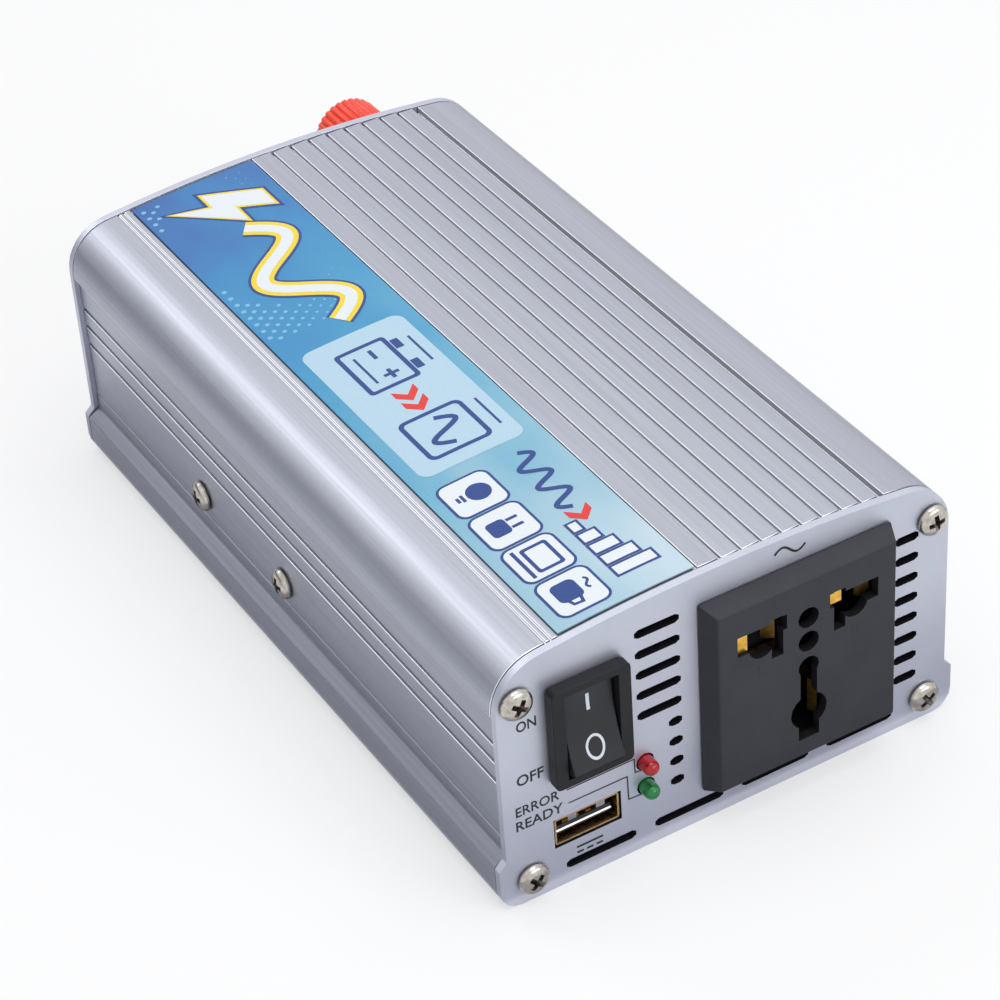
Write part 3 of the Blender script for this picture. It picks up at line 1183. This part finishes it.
def make_fan_rotor():
    """The rotor, with its origin on its axis at the back of the fan."""
    low = FAN_STRUT_THICKNESS + ROTOR_CLEARANCE
    high = FAN_THICKNESS - ROTOR_CLEARANCE
    inner = ROTOR_HUB_RADIUS - ROTOR_WALL
    ceiling = high - ROTOR_WALL
    shaft_end = FAN_STRUT_THICKNESS / 2 + GAP
    profile = [(0.0, high), (ROTOR_HUB_RADIUS - 0.6 * MM, high), (ROTOR_HUB_RADIUS, high - 0.6 * MM),
               (ROTOR_HUB_RADIUS, low), (inner, low), (inner, ceiling),
               (ROTOR_SHAFT_RADIUS, ceiling), (ROTOR_SHAFT_RADIUS, shaft_end), (0.0, shaft_end)]
    place = at(FAN_X, FAN_REAR_Y, FAN_Z, REAR)
    rotor = add_object("fan_rotor", turned_mesh(profile, 28), BLACK_PLASTIC, place)
    for blade in range(FAN_BLADES):
        turn = Matrix.Rotation(blade * 2 * math.pi / FAN_BLADES, 4, "Z")
        join(rotor, blade_mesh(low, high), place @ turn)


def make_fan_screws():
    seat = HALF_LENGTH + GAP
    screw = screw_mesh(seat - FAN_REAR_Y - FAN_SCREW_SHORT)
    for number, (x, z) in enumerate(fan_screw_places(), 1):
        add_object(f"fan_screw_{number}", screw, NICKEL, at(x, seat, z, REAR))


# ---------------------------------------------------------------- battery posts

def ring_profile(inner, outer, low, high):
    return [(inner, high), (outer, high), (outer, low), (inner, low), (inner, high)]


def knob_mesh():
    """A knurled knob along local Z: smooth collar, knurled grip and chamfered end."""
    facets = 2 * KNURLS
    rings = ((0.0, KNOB_RADIUS, 0.0), (KNOB_COLLAR, KNOB_RADIUS, 0.0),
             (KNOB_COLLAR, KNOB_RADIUS, KNURL_DEPTH),
             (KNOB_LENGTH - KNOB_CHAMFER, KNOB_RADIUS, KNURL_DEPTH),
             (KNOB_LENGTH, KNOB_RADIUS - KNOB_CHAMFER, 0.0))
    shape = bmesh.new()
    loops = []
    for height, radius, depth in rings:
        loop = []
        for facet in range(facets):
            angle = 2 * math.pi * facet / facets
            reach = radius - (depth if facet % 2 else 0.0)
            loop.append(shape.verts.new((reach * math.cos(angle), reach * math.sin(angle), height)))
        loops.append(loop)
    for low, high in zip(loops, loops[1:]):
        for facet in range(facets):
            after = (facet + 1) % facets
            shape.faces.new((low[facet], low[after], high[after], high[facet]))
    shape.faces.new(loops[0][::-1])
    shape.faces.new(loops[-1])
    bmesh.ops.remove_doubles(shape, verts=shape.verts, dist=0.000002)
    bmesh.ops.recalc_face_normals(shape, faces=shape.faces)
    mesh = bpy.data.meshes.new("knob")
    shape.to_mesh(mesh)
    shape.free()
    return mesh


def make_post(colour, x, z, plastic, insulation):
    base_profile = [(STUD_HOLE_RADIUS, POST_BASE_THICKNESS),
                    (POST_BASE_RADIUS - 0.5 * MM, POST_BASE_THICKNESS),
                    (POST_BASE_RADIUS, POST_BASE_THICKNESS - 0.5 * MM), (POST_BASE_RADIUS, 0.0),
                    (SPIGOT_RADIUS, 0.0), (SPIGOT_RADIUS, -PANEL_THICKNESS),
                    (STUD_HOLE_RADIUS, -PANEL_THICKNESS), (STUD_HOLE_RADIUS, POST_BASE_THICKNESS)]
    place = at(x, POST_BASE_Y, z, REAR)
    add_object(f"{colour}_post_base", turned_mesh(base_profile, 28), plastic, place)
    ring = ring_profile(STUD_HOLE_RADIUS, RING_RADIUS, 0.0, RING_THICKNESS)
    add_object(f"{colour}_post_ring", turned_mesh(ring, 28), NICKEL, at(x, RING_Y, z, REAR))
    knob = add_object(f"{colour}_post_knob", knob_mesh(), plastic, at(x, KNOB_Y, z, REAR))
    bore = drum_mesh(STUD_HOLE_RADIUS, -KNOB_LENGTH, 2 * KNOB_LENGTH, 24)
    cut(knob, bore, at(x, KNOB_Y, z, REAR))
    start = PANEL_INNER_Y - STUD_INSIDE
    end = HALF_LENGTH + STUD_OUTSIDE
    stud = drum_mesh(STUD_RADIUS, start, end, 24)
    add_object(f"{colour}_post_stud", stud, BRASS, at(x, 0, z, REAR))
    make_lead(colour, x, z, insulation)


def make_lead(colour, x, z, insulation):
    """A ring lug on the stud with its wire down to the board."""
    middle = LUG_Y - LUG_THICKNESS / 2
    half_neck = LUG_NECK_WIDTH / 2
    turn = math.pi - math.asin(half_neck / LUG_RADIUS)
    edge = arc((0, 0), LUG_RADIUS, -turn, turn, 20)
    edge += [(-LUG_NECK, half_neck), (-LUG_NECK, -half_neck)]
    mesh = extruded_mesh([edge, circle((0, 0), STUD_HOLE_RADIUS, 20)], LUG_THICKNESS)
    lug = add_object(f"{colour}_lead", mesh, insulation, at(x, middle, z))
    route = [(x - WASHER_RADIUS - LEAD_CLEARANCE, middle, z)]
    for across, forward, down in LEAD_ROUTES[colour]:
        route.append((x - across, middle - forward, z - down))
    landing = route[-1]
    route.append((landing[0], landing[1], STAND_Z + LEAD_FOOT))
    wire = smooth_route(route) + [(landing[0], landing[1], STAND_Z)]
    join(lug, tube_mesh(wire, LEAD_RADIUS))


def make_post_fasteners():
    washer = turned_mesh(ring_profile(STUD_HOLE_RADIUS, WASHER_RADIUS, -WASHER_THICKNESS, 0.0), 24)
    nut = extruded_mesh([circle((0, 0), POST_NUT_RADIUS, 6), circle((0, 0), STUD_HOLE_RADIUS, 20)],
                        POST_NUT_THICKNESS)
    nut_y = POST_NUT_Y - POST_NUT_THICKNESS / 2
    for colour, (x, z) in post_places().items():
        add_object(f"{colour}_post_washer", washer, BLACK_PLASTIC, at(x, WASHER_Y, z, REAR))
        add_object(f"{colour}_post_nut", nut, NICKEL, at(x, nut_y, z))


# ---------------------------------------------------------------- the whole inverter

make_top_shell()
make_base_tray()
make_front_panel()
make_rear_panel()
make_case_screws()
make_label()
make_switch()
make_socket()
make_usb()
make_lamp("fault_lamp", FAULT_LAMP_Z, RED_LENS)
make_lamp("power_lamp", POWER_LAMP_Z, GREEN_LENS)
make_board()
make_transformer()
make_capacitor("input_capacitor", forward_of_rear(INPUT_CAPACITOR), INPUT_CAPACITOR_SIZE)
output_place = (OUTPUT_CAPACITOR[0], BOARD_FRONT_Y + OUTPUT_CAPACITOR[1])
make_capacitor("output_capacitor", output_place, OUTPUT_CAPACITOR_SIZE)
make_fuse()
transistor = transistor_mesh()
make_clamped_row(-1, "left", LEFT_CLAMP_Y, transistor)
make_clamped_row(1, "right", RIGHT_CLAMP_Y, transistor)
make_fan_frame()
make_fan_rotor()
make_fan_screws()
make_post("red", *post_places()["red"], RED_PLASTIC, RED_INSULATION)
make_post("black", *post_places()["black"], BLACK_PLASTIC, BLACK_INSULATION)
make_post_fasteners()
